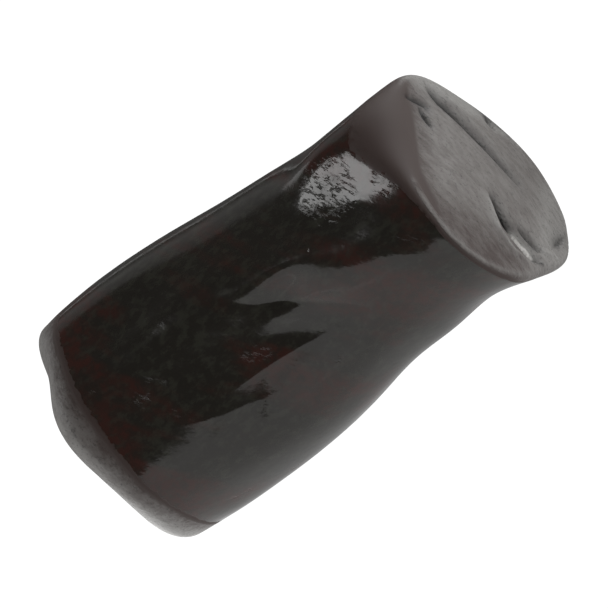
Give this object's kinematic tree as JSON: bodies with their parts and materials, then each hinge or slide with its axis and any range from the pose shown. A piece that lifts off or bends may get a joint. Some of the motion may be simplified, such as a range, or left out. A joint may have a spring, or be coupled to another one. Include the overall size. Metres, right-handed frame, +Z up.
{
  "type": "black licorice candy piece",
  "caption": "Bite-sized length of soft black licorice rope, pinched at the waist, with a creased cut end and a round-edged closed end, lying on its side.",
  "frame": {"origin": "centre of the bounding box at the level of the table that the piece rests on", "axes": "+X along the rope towards the cut end, +Z up, the side shown in the picture faces -Y and up"},
  "size_m": [0.0336, 0.017, 0.017],
  "materials": {
    "black_licorice": "nearly black soft candy with a brown cast and a wet-looking gloss, its cut end a little duller"
  },
  "bodies": {
    "root": {"licorice_piece": "black_licorice"}
  },
  "joints": []
}
